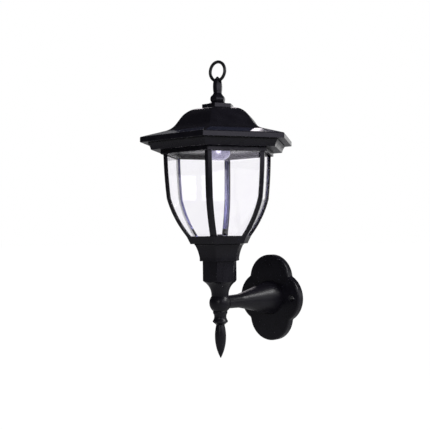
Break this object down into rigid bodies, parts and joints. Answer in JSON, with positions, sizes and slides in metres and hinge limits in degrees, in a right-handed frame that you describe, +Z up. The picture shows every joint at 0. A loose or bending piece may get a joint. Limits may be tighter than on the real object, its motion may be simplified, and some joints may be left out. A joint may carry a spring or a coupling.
{
  "type": "wall lantern",
  "caption": "Six-sided solar coach lantern with clear bowed panes and a lift-off ogee roof, standing on a ball and trumpet arm from a quatrefoil wall plate.",
  "frame": {"origin": "middle of the wall plate's back face, between its two wall screws", "axes": "+Y into the wall, out of the plate's back; +Z up; X across, through both wall screws; the lantern's axis is 99 mm in front of the wall at -Y"},
  "size_m": [0.178, 0.1761, 0.3273],
  "materials": {
    "black_plastic": "satin",
    "clear_pane": "clear polycarbonate",
    "lens": "frosted",
    "led": "clear epoxy, emissive when lit",
    "solar_cell": "gloss",
    "steel": "zinc plated",
    "contact_metal": "nickel plated",
    "gasket_rubber": "matte",
    "board": "solder mask",
    "battery_sleeve": "shrink sleeve",
    "lead_red": "matte",
    "lead_black": "matte",
    "switch_plastic": "matte",
    "switch_knob": "matte",
    "ring_metal": "satin enamel"
  },
  "bodies": {
    "bracket": {"wall_plate": "black_plastic", "arm": "black_plastic", "arm_screws": "steel", "ball_hub": "black_plastic", "drop_finial": "black_plastic", "tie_rod": "steel", "lantern_base": "black_plastic", "cage_frame": "black_plastic", "cage_top_ring": "black_plastic", "rod_washer": "steel", "cap_nut": "black_plastic", "pane_1": "clear_pane", "pane_2": "clear_pane", "pane_3": "clear_pane", "pane_4": "clear_pane", "pane_5": "clear_pane", "pane_6": "clear_pane"},
    "roof": {"roof_shell": "black_plastic", "light_tray": "black_plastic", "tray_gasket": "gasket_rubber", "tray_screws": "steel", "circuit_board": "board", "board_screws": "steel", "led": "led", "led_lens": "lens", "battery": "battery_sleeve", "battery_cradle": "black_plastic", "battery_contacts": "contact_metal", "battery_lead_red": "lead_red", "battery_lead_black": "lead_black", "solar_lead_red": "lead_red", "solar_lead_black": "lead_black", "cell_links": "lead_black", "switch_body": "switch_plastic", "roof_finial": "black_plastic", "finial_nut": "steel", "solar_strip_1": "solar_cell", "solar_strip_2": "solar_cell", "solar_strip_3": "solar_cell", "solar_strip_4": "solar_cell", "solar_strip_5": "solar_cell", "solar_strip_6": "solar_cell"},
    "ring": {"hanging_ring": "ring_metal"},
    "switch": {"switch_slider": "switch_knob"}
  },
  "joints": [
    {"name": "roof_lift", "type": "slide", "parent": "bracket", "child": "roof", "axis": [0, 0, 1], "range_m": [0, 0.06]},
    {"name": "ring_swing", "type": "hinge", "parent": "roof", "child": "ring", "pos_m": [0, -0.099, 0.2447], "axis": [1, 0, 0], "range_deg": [-130, 130]},
    {"name": "switch_slide", "type": "slide", "parent": "roof", "child": "switch", "axis": [1, 0, 0], "range_m": [0, 0.003]}
  ]
}
